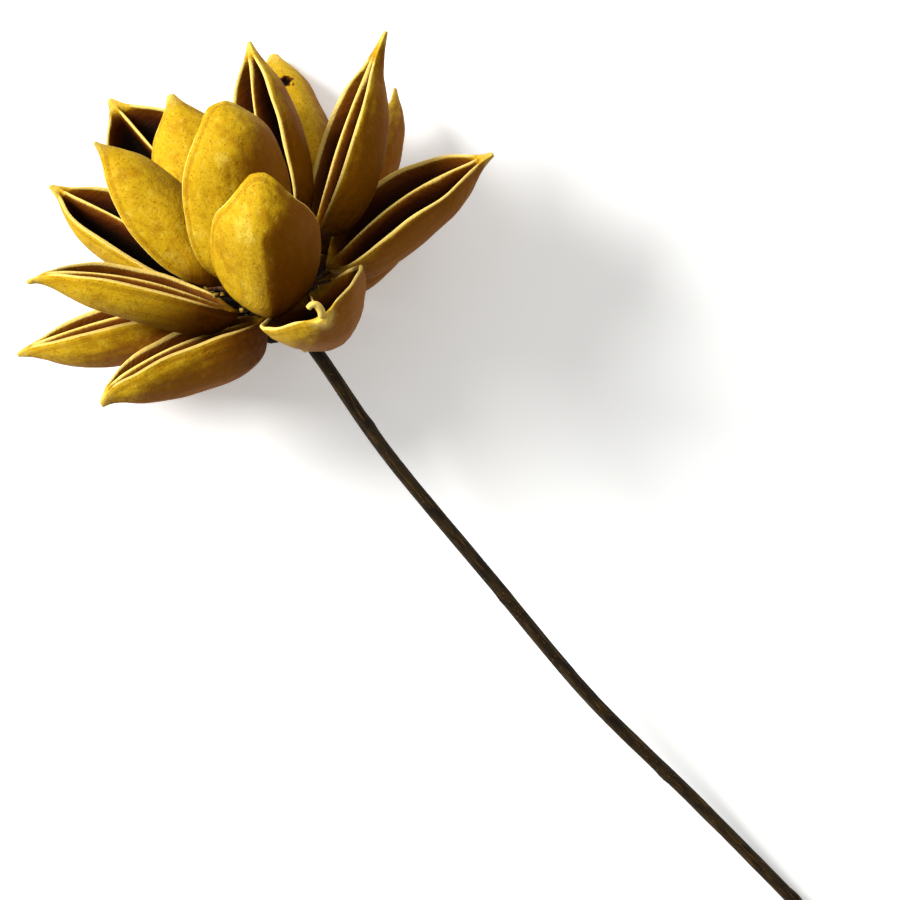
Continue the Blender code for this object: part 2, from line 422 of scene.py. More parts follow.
        # The lining's own red-brown near the lip, painted darker with depth down to nearly black as
        # painted shade.
        stops = (
            (0.06, self.lip_brown),
            (0.15, self.lining),
            (0.32, self.lining_mid),
            (0.62, self.lining_fibre_and_deep_shade),
            (0.90, self.lining_floor_shade),
        )
        lining = made.add("ValToRGB", {"Fac": patterns["depth"]}, "Color", stops)
        lining = made.lay(lining, Tint("fibre", 0.50, 0.72, 0.30, self.lining_fibre_and_deep_shade))
        colour = made.lay(
            outer,
            Tint("inside", 0.01, 0.06, 1.0, lining),
            Tint("tipping", 0.86, 0.96, tip_wear, self.tip),
            # Pale rims, partly a painted highlight.
            Tint("rim_wear_and_highlight", 0.10, 0.54, 1.0, self.rim),
        )
        return made.finish(colour, "relief", self.relief_height)


@dataclass(frozen=True)
class CoreWood:
    """Dry corky flower base: dark brown taken near black as painted shade of the open centre, rough
    and dull, with a few pale broken fibres.
    """

    name: str = "core_wood_corky_painted_shade"
    # Painted shade: the core's own dark brown is taken near black, where the open centre lies in
    # shadow.
    dark: str = "0f0804"
    mid: str = "271708"
    fibre: str = "7a5a16"
    roughness: float = 0.85
    specular: float = 0.2
    relief_height: float = 0.6 * MM

    def build(self) -> Material:
        """Make the material.

        Returns:
            The new material.
        """
        made = Surface(self.name, self.roughness, self.specular)
        place = made.add("TexCoord", {}, "Object")
        made.grain("rough", place, 1.4 * MM, detail=4.0, roughness=0.7)
        made.grain("crumbs", place, 0.5 * MM, detail=1.0)
        colour = made.lay(
            self.dark,
            Tint("rough", 0.38, 0.66, 1.0, self.mid),
            Tint("crumbs", 0.70, 0.80, 0.7, self.fibre),
        )
        return made.finish(colour, "rough", self.relief_height)


@dataclass(frozen=True)
class StalkWood:
    """Torn stalk fibre: dark dry bark that ends in pale splintered pith."""

    name: str = "stalk_fibre_torn"
    pale: str = "b8902c"
    brown: str = "5a3510"
    bark: str = "241507"
    roughness: float = 0.8
    specular: float = 0.2
    relief_height: float = 0.27 * MM

    def build(self) -> Material:
        """Make the material.

        Returns:
            The new material.
        """
        made = Surface(self.name, self.roughness, self.specular)
        zones = made.add("Attribute", {}, "Color", attribute_name="zones")
        made.patterns["along"] = made.add("SeparateColor", {"Color": zones}, 2)
        made.grain("patches", made.add("TexCoord", {}, "Object"), 0.8 * MM)
        made.weigh("torn", along=1.0, patches=0.25)
        colour = made.lay(
            self.bark,
            Tint("patches", 0.45, 0.65, 1.0, self.brown),
            Tint("torn", 1.02, 1.14, 1.0, self.pale),
        )
        return made.finish(colour, "patches", self.relief_height)


@dataclass(frozen=True)
class StemBark:
    """Dried bark of a slim stem: dark olive brown, finely ridged with tan, and painted tan along
    one side as a painted highlight.

    The cut end shows pale wood round a paler pith.
    """

    name: str = "stem_bark_dried"
    dark: str = "1c1206"
    olive: str = "35260c"
    worn_and_highlight: str = "8c6210"
    wood: str = "a8853c"
    pith: str = "dcc68a"
    # Painted highlight: the side that faces the key light is painted tan.
    painted_highlight_side: Point = (-0.79, -0.42, 0.30)
    roughness: float = 0.70
    specular: float = 0.2
    relief_height: float = 0.3 * MM

    def build(self) -> Material:
        """Make the material.

        Returns:
            The new material.
        """
        made = Surface(self.name, self.roughness, self.specular)
        zones = made.add("Attribute", {}, "Color", attribute_name="zones")
        marks = made.add("SeparateColor", {"Color": zones}).node.outputs
        made.patterns.update(cut=marks[0], pith=marks[1])
        place = made.add("Attribute", {}, "Vector", attribute_name="fibres")
        made.grain("ridges", place, 0.45 * MM, (16.0, 1.0, 1.0), 2.0)
        made.grain("patches", place, 2.2 * MM, (2.5, 1.0, 1.0), 4.0, 0.65)
        made.grain("pores", place, 0.55 * MM, (1.6, 1.0, 1.0), 1.0)
        # Painted highlight: faces turned to the key light are painted tan.
        values = {0: made.add("TexCoord", {}, "Normal"), 1: self.painted_highlight_side}
        made.patterns["facing"] = made.add("VectorMath", values, "Value", operation="DOT_PRODUCT")
        made.weigh("painted_highlight", facing=1.0, patches=0.7)
        made.weigh("relief", ridges=1.0, patches=0.7)
        colour = made.lay(
            self.dark,
            Tint("patches", 0.38, 0.62, 1.0, self.olive),
            Tint("ridges", 0.56, 0.74, 0.45, self.worn_and_highlight),
            # Painted highlight along the side towards the key light.
            Tint("painted_highlight", 0.86, 1.22, 0.85, self.worn_and_highlight),
            Tint("pores", 0.66, 0.78, 0.60, self.worn_and_highlight),
            Tint("cut", 0.3, 0.9, 1.0, self.wood),
            Tint("pith", 0.3, 0.9, 1.0, self.pith),
        )
        return made.finish(colour, "relief", self.relief_height)


@dataclass(frozen=True)
class PaperFloor:
    """Plain matt white paper, lit a little from beneath so that the shadows stay pale."""

    name: str = "floor_paper_white"
    white: str = "f6f6f4"
    roughness: float = 0.9
    specular: float = 0.1
    glow: float = 0.40

    def build(self) -> Material:
        """Make the material.

        Returns:
            The new material.
        """
        made = Surface(self.name, self.roughness, self.specular)
        for socket in ("Base Color", "Emission Color"):
            made.shader.inputs[socket].default_value = linear(self.white)
        made.shader.inputs["Emission Strength"].default_value = self.glow
        return made.material


# ---- lofted skins
def smooth_line(route: Sequence[Vector], step: float) -> list[Vector]:
    """Follow a smooth curve through some points.

    Args:
        route: the points it passes through.
        step: how far apart the returned points are, roughly.

    Returns:
        Points along the curve, both ends among them.
    """
    ends = [2.0 * route[0] - route[1], *route, 2.0 * route[-1] - route[-2]]
    points = []
    for index in range(1, len(ends) - 2):
        before, start, end, after = ends[index - 1:index + 3]
        steps = max(2, round((end - start).length / step))
        for number in range(steps):
            share = number / steps
            points.append((
                2.0 * start
                + (end - before) * share
                + (2.0 * before - 5.0 * start + 4.0 * end - after) * share ** 2
                + (3.0 * start - before - 3.0 * end + after) * share ** 3
            ) / 2.0)
    points.append(route[-1])
    return points


@dataclass
class RingPoint:
    """One point of a ring: where it is across and above, and how it is finished."""

    across: float
    height: float
    inside: float
    rim: float
    girth: float
    under: float = 1.0


def close_end(piece: Piece, first: int, count: int, pole: Vector) -> None:
    """Close one end of a tube in a pole.

    Args:
        piece: the tube.
        first: the number of the end ring's first vertex.
        count: points in a ring.
        pole: where the end closes.
    """
    edit_all(piece)
    bpy.ops.mesh.select_mode(type="VERT")
    bpy.ops.mesh.select_all(action="DESELECT")
    bpy.ops.object.mode_set(mode="OBJECT")
    for index in range(first, first + count):
        piece.data.vertices[index].select = True
    bpy.ops.object.mode_set(mode="EDIT")
    bpy.ops.mesh.extrude_region_move(TRANSFORM_OT_translate={"value": (0.0, 0.0, 0.0)})
    bpy.ops.mesh.merge(type="CENTER")
    bpy.ops.object.mode_set(mode="OBJECT")
    next(vertex for vertex in piece.data.vertices if vertex.select).co = pole


def skin(
    name: str,
    count: int,
    places: Sequence[Vector],
    poles: tuple[Vector, Vector],
    zones: Sequence[Zone],
    fibres: Sequence[Point] = (),
) -> Piece:
    """Make a closed tube whose rings run through given points.

    Args:
        name: the object's name.
        count: points in a ring.
        places: the points, ring by ring.
        poles: where the first and the last end close.
        zones: each point's marks for the finish.
        fibres: each point's coordinates along and round the grain.

    Returns:
        The tube, its faces outwards.
    """
    bpy.ops.mesh.primitive_circle_add(vertices=count, radius=1.0)
    piece = bpy.context.object
    piece.name = name
    piece.data.name = name
    edit_all(piece)
    for _ in range(len(places) // count - 1):
        bpy.ops.mesh.extrude_region_move(TRANSFORM_OT_translate={"value": (0.0, 0.0, 1.0)})
    bpy.ops.object.mode_set(mode="OBJECT")
    for vertex, place in zip(piece.data.vertices, places):
        vertex.co = place
    for mark, kind, field, values in (
        ("zones", "FLOAT_COLOR", "color", zones),
        ("fibres", "FLOAT_VECTOR", "vector", fibres),
    ):
        attribute = piece.data.attributes.new(mark, kind, "POINT")
        for target, value in zip(attribute.data, values):
            setattr(target, field, value)
    close_end(piece, 0, count, poles[0])
    close_end(piece, len(places) - count, count, poles[1])
    edit_all(piece)
    bpy.ops.mesh.normals_make_consistent(inside=False)
    bpy.ops.object.mode_set(mode="OBJECT")
    return piece


# ---- one pod valve
class Beak(Enum):
    """How a valve's beak ends."""

    PLAIN = "plain"
    KNOB = "knob"
    TAB = "tab"


@dataclass(frozen=True)
class Station:
    """One cut across a valve: its sizes there, in millimetres, and how far it is open."""

    half: float
    depth: float
    rim: float
    wall: float
    open_share: float


@dataclass
class PodValve:
    """One boat-shaped woody valve, with its thin wall, partition and beak.

    Angles are in degrees: heading round +Z from +X, pitch above the horizontal, and the
    roll of the mouth from straight up. Sizes are in millimetres, and arch and hook are
    parts of the length. Keel, blunt and dome run from 0, round and pointed, to 1, and
    stain is how far the foot's brown spreads; that brown is partly the husk's own and
    partly painted shade. Each hole is a beetle's pit in the skin: its
    place along, across and up the valve, and its radius.
    """

    node: str
    heading: float
    pitch: float
    roll: float
    length: float
    width: float
    depth: float
    arch: float = 0.05
    hook: float = 0.0
    keel: float = 0.3
    blunt: float = 0.0
    dome: float = 0.0
    solid_beak: float = 0.0
    beak: Beak = Beak.PLAIN
    knob: float = 1.3
    bend: float = 0.0
    brown_and_shade_reach: float = 0.0
    tip_wear: float = 0.75
    holes: tuple[Zone, ...] = ()
    wall: float = 1.05
    partition: float = 0.40
    bead: float = 0.52
    lip: float = 0.30
    rings: int = 46
    side_steps: int = 28
    inner_steps: int = 9

    WIDTHS: ClassVar[Curve] = (
        (0.00, 0.10), (0.05, 0.44), (0.12, 0.70), (0.22, 0.90), (0.34, 0.99), (0.46, 1.00),
        (0.58, 0.95), (0.70, 0.82), (0.80, 0.62), (0.88, 0.36), (0.94, 0.17), (1.00, 0.05),
    )
    DEPTHS: ClassVar[Curve] = (
        (0.00, 0.13), (0.05, 0.50), (0.12, 0.76), (0.22, 0.92), (0.34, 1.00), (0.46, 1.00),
        (0.58, 0.93), (0.70, 0.78), (0.80, 0.58), (0.88, 0.36), (0.94, 0.19), (1.00, 0.06),
    )
    # Where a beak starts on those curves, and where the mouth opens and closes.
    BEAK_START: ClassVar[float] = 0.88
    OPENS: ClassVar[tuple[float, float]] = (0.015, 0.11)
    CLOSES: ClassVar[tuple[float, float]] = (0.87, 0.955)
    HOOK_START: ClassVar[float] = 0.82
    # How far the partition's top lies below the rims, as a part of the depth.
    PARTITION_DROP: ClassVar[float] = 0.02
    # Uneven growth, as parts of the half width and of the width.
    UNEVEN: ClassVar[float] = 0.045
    RIPPLE: ClassVar[float] = 0.022
    # Dents, furrows and pits of the dry skin: how deep, in millimetres.
    DENT: ClassVar[float] = 0.22
    FURROW: ClassVar[float] = 0.16
    PIT: ClassVar[float] = 0.035
    # The dried strip of a tabbed beak: its line from the tip and its half width.
    TAB_LINE: ClassVar[tuple[Point, ...]] = (
        (-2.2, 0.0, -0.8), (-0.6, 0.3, 0.9), (0.1, 0.7, 2.4), (0.5, 0.5, 3.8),
        (0.7, -0.5, 4.5), (0.5, -1.7, 4.2),
    )
    TAB_SIZE: ClassVar[float] = 1.30
    TAB_POINTS: ClassVar[int] = 14

    @property
    def seed(self) -> int:
        """A number of the valve's own, for its uneven growth."""
        return int(self.node[-2:])

    @property
    def spread(self) -> float:
        """How square the section is across: the exponent of its cosine."""
        return 0.8 + 0.4 * self.keel

    @property
    def sink(self) -> float:
        """How keeled the section is downwards: the exponent of its sine."""
        return 1.15 + 0.25 * self.keel

    def size_at(self, table: Curve, largest: float, along: float, share: float) -> float:
        """Half width or depth at a station, with a blunt tip and a knob allowed for.

        Args:
            table: the curve of that size along the valve.
            largest: its largest value in millimetres.
            along: the station as a part of the length.
            share: its place on the curve.

        Returns:
            The size there in millimetres.
        """
        value = read_curve(table, share)
        value **= 1.0 - 0.45 * self.blunt * smooth_step(0.5, 0.8, share)
        if share > 0.5:
            dome = math.sqrt(max(0.0, 1.0 - (2.0 * share - 1.0) ** 2))
            value += (max(dome, 0.10) - value) * self.dome
        value *= largest
        if self.beak is Beak.KNOB:
            reach = (along - 1.0) * self.length + self.knob
            if reach > 0.0:
                ball = math.sqrt(max(0.02, 1.0 - min(1.0, reach / self.knob) ** 2)) * self.knob
                value = max(min(value, self.knob), ball)
            elif reach > -self.knob:
                value = max(value, self.knob * (0.75 + 0.25 * (1.0 + reach / self.knob)))
        return value

    def rim_height(self, along: float) -> float:
        """How far the rim stands off the line from foot to tip.

        Args:
            along: the station as a part of the length.

        Returns:
            The height in millimetres.
        """
        height = self.arch * self.length * math.sin(math.pi * along)
        hooked = max(0.0, (along - self.HOOK_START) / (1.0 - self.HOOK_START))
        return height - self.hook * self.length * hooked ** 2

    def station_at(self, along: float) -> Station:
        """Cut across the valve, with its solid beak stretched.

        Args:
            along: the station as a part of the length.

        Returns:
            The valve's sizes there.
        """
        share = along
        start = 1.0 - self.solid_beak
        if self.solid_beak and along < start:
            share = along / start * self.BEAK_START
        elif self.solid_beak:
            share = self.BEAK_START + (along - start) / self.solid_beak * (1.0 - self.BEAK_START)
        half = self.size_at(self.WIDTHS, self.width / 2.0, along, share)
        return Station(
            half,
            self.size_at(self.DEPTHS, self.depth, along, share),
            self.rim_height(along),
            min(self.wall, 0.40 * half),
            smooth_step(*self.OPENS, share) * (1.0 - smooth_step(*self.CLOSES, share)),
        )

    def ring(self, along: float) -> list[RingPoint]:
        """The closed outline of wall, mouth and partition at one station.

        Args:
            along: the station as a part of the length.

        Returns:
            The ring's points, round the outside and back through the mouth.
        """
        at = self.station_at(along)
        wave = Vector((along * 3.0, self.seed * 7.3, 0.0))
        points = []
        girth = 0.0
        previous = None
        for step in range(self.side_steps + 1):
            angle = math.pi * step / self.side_steps
            side = -1.0 if step > self.side_steps / 2 else 1.0
            cosine, sine = abs(math.cos(angle)), max(0.0, math.sin(angle))
            uneven = 1.0 + self.UNEVEN * noise.noise(wave + Vector((0.0, 0.0, side * 2.0)))
            across = side * at.half * uneven * cosine ** self.spread
            ripple = self.RIPPLE * self.width * noise.noise(wave * 1.7 + Vector((0.0, side, 4.0)))
            lift = ripple * at.open_share * cosine ** 2
            height = at.rim + lift - at.depth * sine ** self.sink
            place = Vector((across, height))
            if previous is not None:
                girth += (place - previous).length
            previous = place
            below = at.rim + lift - height
            # How pale the rim is: partly wear, partly a painted highlight.
            worn_and_highlight = (1.0 - smooth_step(0.0, 0.7, below)) * 0.75 * at.open_share
            points.append(RingPoint(across, height, 0.0, worn_and_highlight, girth, min(1.0, below / 10.0)))

        # The mouth, from the -Y rim over its lip, down the channel and up the partition.
        left = self.channel(points[-1], at, girth)
        right = self.channel(points[0], at, girth)
        top = at.rim - self.PARTITION_DROP * at.depth * at.open_share + self.lip * 0.8
        crown = RingPoint(0.0, top, 0.0, at.open_share, left[-1].girth + self.bead)
        outline = points + left + [crown] + list(reversed(right))
        sideways = self.bend * smooth_step(0.80, 1.05, along) ** 2
        fade = 0.30 + 0.70 * smooth_step(0.03, 0.30, along)
        for point in outline:
            point.across += sideways
            point.rim *= fade
        return outline

    def channel(self, edge: RingPoint, at: Station, girth: float) -> list[RingPoint]:
        """One side of the mouth, from a rim to the partition's bead.

        Args:
            edge: the outermost point of that rim.
            at: the valve's sizes there. Where its wood is solid, the channel lies flat.
            girth: how far round the ring the outside has come.

        Returns:
            The points from rim to bead.
        """
        side = -1.0 if edge.across < 0.0 else 1.0
        inner_half = max(abs(edge.across) - at.wall, 0.5 * at.half)
        inner_depth = max(at.depth - at.wall, 0.5 * at.depth)
        plate = min(self.partition, 0.22 * inner_half)
        bead = min(self.bead, 0.35 * inner_half)
        lift = edge.height - at.rim
        flat_lip = self.lip * 0.6
        # Down the wall and up the partition: how far across and how high each point is where
        # the mouth is open, the same where the wood is solid, and how deep the rim's pale wear,
        # partly a painted highlight, reaches.
        route = []
        for step in range(self.inner_steps + 1):
            share = step / self.inner_steps
            angle = math.pi / 2.0 * share
            across = max(inner_half * math.cos(angle) ** self.spread, 1.25 * plate)
            height = at.rim + lift * (1.0 - share) - inner_depth * math.sin(angle) ** self.sink
            flat = abs(edge.across) * (1.0 - share) * 0.8 + bead * share
            level = edge.height + flat_lip * share
            route.append((across, height, flat, level, 0.8))
        bottom = level + (height - level) * at.open_share
        top = at.rim - self.PARTITION_DROP * at.depth * at.open_share
        for share in (0.30, 0.64, 0.90):
            across = plate if share < 0.8 else bead
            height = bottom + (top - bottom) * share
            route.append((across, height, bead * (1.0 - share), level, 1.2))

        lip_across = side * (abs(edge.across) - 0.45 * at.wall)
        lip_height = edge.height + self.lip * at.open_share
        points = [RingPoint(lip_across, lip_height, 0.0, at.open_share, girth + 0.5)]
        for across, height, flat, level, worn_depth in route:
            across = flat + (across - flat) * at.open_share
            height = level + (height - level) * at.open_share
            beneath = max(0.0, edge.height - height)
            # How far below the rim the lining lies: it marks the lining and drives its painted
            # shade.
            inside = (0.04 + 0.96 * smooth_step(0.2, 0.80 * self.depth, beneath)) * at.open_share
            # The same rim paleness inside the lip: partly wear, partly a painted highlight.
            worn_and_highlight = (1.0 - smooth_step(0.05, worn_depth, beneath)) * 0.9 * at.open_share
            points.append(RingPoint(side * across, height, inside, worn_and_highlight, girth + 1.0 + beneath))
        return points

    def turn(self) -> Matrix:
        """Work out the turn that takes the valve from lying along +X, mouth up, to how it stands.

        Returns:
            The turn.
        """
        angles = (self.heading, self.pitch, self.roll)
        heading, pitch, roll = (math.radians(angle) for angle in angles)
        level = Vector((math.cos(heading), math.sin(heading), 0.0)) * math.cos(pitch)
        pointing = level + Vector((0.0, 0.0, math.sin(pitch)))
        upward = (Vector((0.0, 0.0, 1.0)) - pointing * pointing.z).normalized()
        mouth = upward * math.cos(roll) + upward.cross(pointing) * math.sin(roll)
        return Matrix((pointing, mouth.cross(pointing), mouth)).transposed().to_4x4()

    def shape(self) -> Piece:
        """Loft, subdivide and weather the valve.

        Returns:
            The valve along +X, mouth up.
        """
        stations = [
            0.5 - 0.5 * math.cos(math.pi * (0.03 + 0.94 * index / (self.rings - 1)))
            for index in range(self.rings)
        ]
        zones, fibres, places = [], [], []
        low, high = stations[0], stations[-1]
        for station in stations:
            along = (station - low) / (high - low)
            outline = self.ring(along)
            for point in outline:
                places.append(Vector((along * self.length, point.across, point.height)) * MM)
                zones.append((point.inside, point.rim, along, point.under))
                fibres.append((along * self.length * MM, point.girth * MM, self.seed * 0.013))
        count = len(outline)
        near = sum(places[:count], Vector()) / count - Vector((0.25 * MM, 0.0, 0.0))
        far = sum(places[-count:], Vector()) / count + Vector((0.15 * MM, 0.0, 0.0))
        piece = skin(self.node + "_valve", count, places, (near, far), zones, fibres)
        subdivide(piece, 1)
        self.weather(piece)
        if self.beak is Beak.TAB:
            make_active(piece, self.dried_tab())
            bpy.ops.object.join()
        return piece

    def dried_tab(self) -> Piece:
        """Loft the dried strip that curls back from the tip over the mouth.

        Returns:
            The strip, placed on the valve as it lies along +X.
        """
        tip = Vector((self.length, 0.0, self.rim_height(1.0)))
        line = smooth_line([(tip + Vector(point)) * MM for point in self.TAB_LINE], 0.4 * MM)
        last = len(line) - 1
        places = []
        for index, centre in enumerate(line):
            share = index / last
            ahead = (line[min(index + 1, last)] - line[max(index - 1, 0)]).normalized()
            flat = ahead.cross(Vector((1.0, 0.0, 0.0))).normalized()
            size = self.TAB_SIZE * MM * (1.0 - 0.30 * share + 0.15 * math.sin(math.pi * share))
            for number in range(self.TAB_POINTS):
                angle = 2.0 * math.pi * number / self.TAB_POINTS
                side = Vector((math.cos(angle), 0.0, 0.0)) + flat * (0.72 * math.sin(angle))
                places.append(centre + side * size)
        poles = (line[0] * 1.5 - line[1] * 0.5, line[-1] * 1.5 - line[-2] * 0.5)
        zones = [(0.0, 0.5, 1.0, 1.0)] * len(places)
        return skin("tab", self.TAB_POINTS, places, poles, zones)

    def weather(self, piece: Piece) -> None:
        """Give the skin the dents and shallow furrows of dried husk.

        Args:
            piece: the smooth valve along +X.
        """
        marks = piece.data.attributes["zones"].data
        spots = Vector((self.seed * 3.1, self.seed * 1.7, 0.0))
        moves = []
        for vertex in piece.data.vertices:
            inside, rim, along, under = marks[vertex.index].color
            place = vertex.co / MM
            lengthwise = Vector((place.x * 0.05, place.y * 0.50, place.z * 0.50))
            move = self.DENT * noise.noise(place * 0.13 + spots)
            move += self.FURROW * noise.noise(lengthwise + spots)
            move += self.PIT * noise.noise(place * 0.9 + spots)
            move *= (1.0 - 0.8 * rim) * (1.0 - 0.9 * min(1.0, inside * 3.0))
            for share, across, height, radius in self.holes:
                away = (place - Vector((share * self.length, across, height))).length / radius
                pit = 1.0 - smooth_step(0.35, 1.0, away + 0.5 * noise.noise(place * 1.3))
                if inside < 0.02 and pit > 0.0:
                    move -= 0.8 * radius * pit
                    marks[vertex.index].color = (pit, rim, along, under)
            moves.append(vertex.normal * (move * MM))
        for vertex, move in zip(piece.data.vertices, moves):
            vertex.co += move

    def build(self) -> Piece:
        """Model the valve, stand it on its CAD node and dress it.

        Returns:
            The finished valve.
        """
        piece = self.shape()
        piece.data.transform(self.turn())
        stand_on(piece, self.node)
        wood = HuskWood().build(self.seed * 0.11, self.brown_and_shade_reach, self.tip_wear)
        settle(piece, wood, "pod_wood", self.node)
        return piece


VALVES = (
    # The extra foot brown on pod_01 and pod_03 is partly painted shade.
    PodValve("pod_01", 254, 6, -75, 46.0, 25.0, 14.0, 0.07, 0.06, keel=0.4, blunt=0.5, brown_and_shade_reach=0.05),
    PodValve("pod_02", 245, -6, -74, 50.5, 24.0, 13.0, 0.04, 0.02, keel=0.2),
    PodValve(
        "pod_03", 219, 8, -78, 52.5, 25.5, 11.0, 0.07, 0.05,
        keel=0.2, blunt=0.1, beak=Beak.KNOB, knob=1.6, brown_and_shade_reach=0.15,
    ),
    PodValve("pod_04", 200, -14, -50, 50.5, 25.0, 12.5, keel=0.2),
    PodValve("pod_05", 182, 13, 136, 48.0, 21.5, 10.0, keel=0.3, bend=-1.5),
    PodValve("pod_06", 180, -18, -14, 55.5, 29.0, 12.5, keel=0.2),
    PodValve("pod_07", 161, -1, 178, 47.0, 25.5, 10.0, keel=0.4, blunt=0.2),
    PodValve(
        "pod_08", 149, 32, 150, 49.0, 29.5, 13.0, hook=-0.07,
        keel=0.4, blunt=1.0, dome=0.45, tip_wear=0.0,
    ),
    PodValve(
        "pod_09", 144, 54, 178, 44.5, 27.0, 13.0, hook=-0.10,
        keel=1.0, blunt=0.8, dome=0.45, tip_wear=0.0,
    ),
    PodValve("pod_10", -8, 80, 1, 45.0, 29.0, 14.0, 0.04, 0.03, keel=0.8, blunt=0.5, beak=Beak.TAB),
    PodValve("pod_11", 151, -2, 56, 49.0, 24.5, 12.0, 0.06, keel=0.3),
    PodValve(
        "pod_12", 152.5, -26.6, 126, 50.5, 25.0, 13.0, 0.04, keel=0.4, blunt=0.5,
        holes=((0.735, -5.0, -6.4, 1.9),),
    ),
    PodValve("pod_13", 120, 4, 70, 54.0, 25.0, 13.0, 0.04, keel=0.4, solid_beak=0.2),
    PodValve(
        "pod_14", 111, -19.5, 95, 50.0, 23.0, 12.0, 0.04, -0.05, keel=0.3, beak=Beak.KNOB, knob=1.0,
    ),
    PodValve("pod_15", 84, 4, 60, 50.0, 28.0, 13.0, 0.09, keel=0.5),
    PodValve("pod_16", 244, -47, -35, 46.0, 24.0, 12.0, keel=0.3, blunt=0.2),
    PodValve("pod_17", 189, -31, 2, 44.0, 24.0, 11.5, keel=0.2),
    PodValve("pod_18", 144, -41, 53, 38.0, 20.5, 9.5, keel=0.4),
    PodValve("pod_19", 92, -40, 71, 46.0, 25.0, 12.5, keel=0.3, blunt=0.3),
    PodValve("pod_20", 300, -80, -30, 27.0, 17.0, 8.5, keel=0.4, blunt=0.2),
)


# ---- core and stem
@dataclass
class Receptacle:
    """The dark knobby flower base that every valve stands on."""

    node: str = "receptacle"
    knob_size: float = 2.2 * MM
    knob_height: float = 0.55 * MM
    # How fine each layer of bumps is, and its part of the height.
    bumps: tuple[tuple[float, float], ...] = ((1.0, 0.7), (2.7, 0.4))

    def build(self) -> Piece:
        """Copy the CAD solid, merge it, and give it a corky surface.

        Returns:
            The core.
        """
        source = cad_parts[self.node]
        piece = bpy.data.objects.new("receptacle_core", source.data.copy())
        bpy.context.scene.collection.objects.link(piece)
        piece.data.materials.clear()
        edit_all(piece)
        bpy.ops.mesh.remove_doubles(threshold=1e-6)
        bpy.ops.object.mode_set(mode="OBJECT")
        subdivide(piece, 2)
        moves = []
        for vertex in piece.data.vertices:
            place = vertex.co / self.knob_size
            bump = sum(part * noise.noise(place * fineness) for fineness, part in self.bumps)
            moves.append(vertex.normal * bump * self.knob_height)
        for vertex, move in zip(piece.data.vertices, moves):
            vertex.co += move
        settle(piece, CoreWood().build(), "core_wood", self.node)
        return piece


@dataclass
class BrokenStalks:
    """Short dark stalks with pale torn ends, left on the core where valves have dropped."""

    ring_points: int = 10
    rings: int = 9
    radius: float = 0.42 * MM
    root_reach: float = 0.35
    tear: float = 0.10
    ends: tuple[Point, ...] = (
        (-12.2, -10.8, 5.5), (-9.6, -13.2, 6.0), (-8.6, -11.6, 8.0), (-3.4, -8.2, 12.5),
        (-2.0, -10.4, 12.0), (10.5, 3.0, 6.5), (11.0, -3.5, 4.5), (9.5, 7.5, 1.0),
        (7.5, -9.0, -1.5), (11.5, 4.0, -6.0), (6.0, 12.0, -4.5), (-9.0, 8.0, -11.0),
        (4.9, 7.6, -6.9), (-13.4, -13.6, -8.8),
    )
    stout: tuple[int, ...] = (12, 13)
    stout_girth: float = 1.7

    def model_stalk(self) -> Piece:
        """Loft one stalk of unit length along +X, thin in the middle and torn at its end.

        Returns:
            The stalk.
        """
        places, zones = [], []
        for index in range(self.ring_points * self.rings):
            ring, number = divmod(index, self.ring_points)
            along = ring / (self.rings - 1)
            angle = 2.0 * math.pi * number / self.ring_points
            swell = 1.0 + 0.9 * (1.0 - along) ** 2 + 0.35 * smooth_step(0.75, 1.0, along)
            ragged = noise.noise(Vector((number * 1.7, 3.0, 0.5)))
            torn = self.tear * smooth_step(0.80, 1.0, along) * ragged
            uneven = 1.0 + 0.25 * noise.noise(Vector((along * 5.0, number * 0.9, 2.0)))
            radius = self.radius * swell * uneven
            around = (radius * math.cos(angle), radius * math.sin(angle))
            places.append(Vector((along + torn, *around)))
            zones.append((0.0, 0.0, along, 1.0))
        poles = (Vector((0.0, 0.0, 0.0)), Vector((0.94, 0.0, 0.0)))
        return skin("stalk", self.ring_points, places, poles, zones)

    def build(self, origin: Vector) -> Piece:
        """Copy the stalk to each broken end and join the copies into one piece.

        Args:
            origin: the head's centre in the row frame.

        Returns:
            The joined stalks.
        """
        model = self.model_stalk()
        copies = []
        for number, end in enumerate(self.ends):
            tip = Vector(end) * MM
            root = tip * self.root_reach
            copied = bpy.data.objects.new(f"stalk_{number:02d}", model.data.copy())
            bpy.context.scene.collection.objects.link(copied)
            girth = 1.0 + 0.2 * math.sin(number * 2.3)
            if number in self.stout:
                girth = self.stout_girth
            size = Matrix.Diagonal(((tip - root).length, girth, girth, 1.0))
            turned = (tip - root).to_track_quat("X", "Z").to_matrix().to_4x4()
            copied.data.transform(Matrix.Translation(origin + root) @ turned @ size)
            copies.append(copied)
        bpy.data.objects.remove(model, do_unlink=True)
        make_active(*copies)
        bpy.ops.object.join()
        piece = copies[0]
        piece.name = "broken_stalks"
        settle(piece, StalkWood().build(), "core_wood")
        return piece


